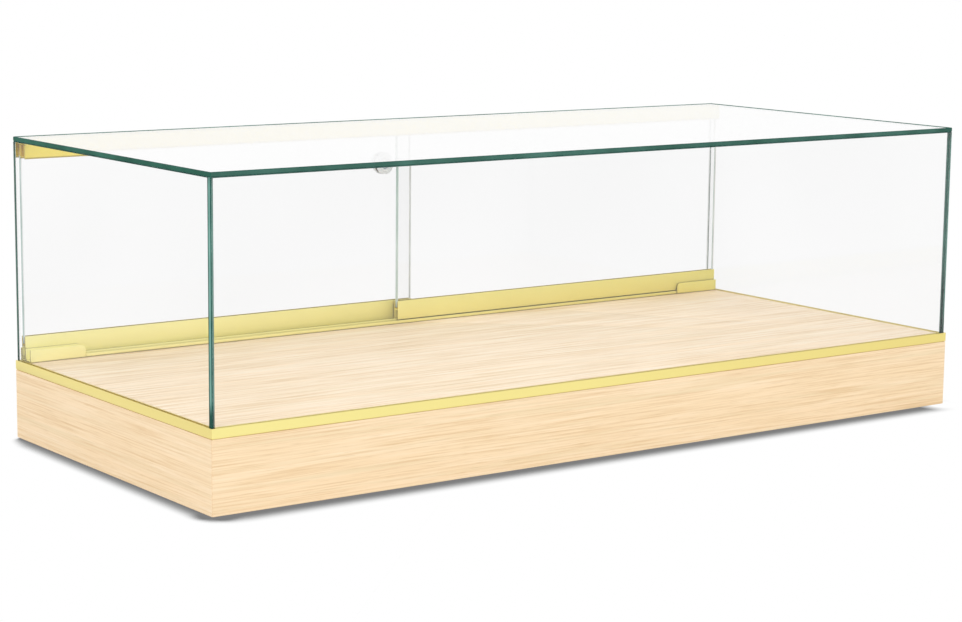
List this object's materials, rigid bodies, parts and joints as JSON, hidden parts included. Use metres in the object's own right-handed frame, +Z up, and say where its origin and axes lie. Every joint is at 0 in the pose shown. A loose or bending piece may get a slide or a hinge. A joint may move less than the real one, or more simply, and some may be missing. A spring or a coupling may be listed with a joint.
{
  "type": "countertop display case",
  "caption": "Frameless glass countertop showcase on a low oak plinth with gold trim, closed at the back by bypassing sliding glass doors with a push lock.",
  "frame": {"origin": "on the counter, under the middle of the plinth", "axes": "+X to the right along the front, +Y to the back with the doors, +Z up"},
  "size_m": [1, 0.44, 0.332],
  "materials": {
    "oak": "oak veneer, clear matt lacquer",
    "softwood": "planed, unfinished",
    "gold_aluminium": "pale gold anodised, satin",
    "glass": "clear float, polished edges",
    "clear_pvc": "translucent soft vinyl",
    "nylon": "moulded, natural white",
    "steel": "zinc plated",
    "satin_chrome": "satin chrome plate",
    "brass": "machined",
    "fibre": "grey vulcanised fibre",
    "rubber": "moulded black"
  },
  "bodies": {
    "case": {"plinth_front_panel": "oak", "plinth_back_panel": "oak", "plinth_left_panel": "oak", "plinth_right_panel": "oak", "deck_panel": "oak", "corner_blocks": "softwood", "front_cleat": "softwood", "back_cleat": "softwood", "centre_rail": "softwood", "rubber_feet": "rubber", "deck_screws": "steel", "track_screws": "steel", "front_trim": "gold_aluminium", "left_trim": "gold_aluminium", "right_trim": "gold_aluminium", "front_glazing_strip": "clear_pvc", "left_glazing_strip": "clear_pvc", "right_glazing_strip": "clear_pvc", "front_glass": "glass", "left_glass": "glass", "right_glass": "glass", "top_glass": "glass", "top_track": "gold_aluminium", "outer_top_liner": "clear_pvc", "inner_top_liner": "clear_pvc", "bottom_track": "gold_aluminium", "left_end_guide": "gold_aluminium", "right_end_guide": "gold_aluminium"},
    "left_door": {"left_door_glass": "glass", "left_door_shoe": "gold_aluminium", "left_shoe_gasket": "clear_pvc", "left_roller_carriages": "nylon", "left_axle_pins": "steel", "lock_barrel": "satin_chrome", "lock_washers": "fibre", "lock_ring_nut": "satin_chrome", "lock_spring": "steel"},
    "right_door": {"right_door_glass": "glass", "right_door_shoe": "gold_aluminium", "right_shoe_gasket": "clear_pvc", "right_roller_carriages": "nylon", "right_axle_pins": "steel"},
    "lock_plunger": {"lock_plunger": "satin_chrome", "lock_retaining_clip": "steel"},
    "lock_core": {"lock_core": "brass"},
    "left_door_left_roller": {"left_door_left_roller": "nylon"},
    "left_door_right_roller": {"left_door_right_roller": "nylon"},
    "right_door_left_roller": {"right_door_left_roller": "nylon"},
    "right_door_right_roller": {"right_door_right_roller": "nylon"}
  },
  "joints": [
    {"name": "left_door_slide", "type": "slide", "parent": "case", "child": "left_door", "axis": [1, 0, 0], "range_m": [0, 0.478]},
    {"name": "right_door_slide", "type": "slide", "parent": "case", "child": "right_door", "axis": [1, 0, 0], "range_m": [-0.478, 0]},
    {"name": "left_door_left_roller_spin", "type": "hinge", "parent": "left_door", "child": "left_door_left_roller", "pos_m": [-0.401, 0.2079, 0.0969], "axis": [0, 1, 0], "continuous": true},
    {"name": "left_door_right_roller_spin", "type": "hinge", "parent": "left_door", "child": "left_door_right_roller", "pos_m": [-0.077, 0.2079, 0.0969], "axis": [0, 1, 0], "continuous": true},
    {"name": "right_door_left_roller_spin", "type": "hinge", "parent": "right_door", "child": "right_door_left_roller", "pos_m": [0.077, 0.1971, 0.0969], "axis": [0, 1, 0], "continuous": true},
    {"name": "right_door_right_roller_spin", "type": "hinge", "parent": "right_door", "child": "right_door_right_roller", "pos_m": [0.401, 0.1971, 0.0969], "axis": [0, 1, 0], "continuous": true},
    {"name": "lock_plunger_press", "type": "slide", "parent": "left_door", "child": "lock_plunger", "axis": [0, -1, 0], "range_m": [0, 0.0034], "stiffness_N_per_m": 300, "springref_m": -0.006, "deforming": ["lock_spring"]},
    {"name": "lock_core_turn", "type": "hinge", "parent": "lock_plunger", "child": "lock_core", "pos_m": [-0.026, 0.22, 0.278], "axis": [0, 1, 0], "range_deg": [0, 90]}
  ],
  "couplings": [
    {"joint": "left_door_left_roller_spin", "follows": "left_door_slide", "rad_per_m": 263.16},
    {"joint": "left_door_right_roller_spin", "follows": "left_door_slide", "rad_per_m": 263.16},
    {"joint": "right_door_left_roller_spin", "follows": "right_door_slide", "rad_per_m": 263.16},
    {"joint": "right_door_right_roller_spin", "follows": "right_door_slide", "rad_per_m": 263.16}
  ]
}
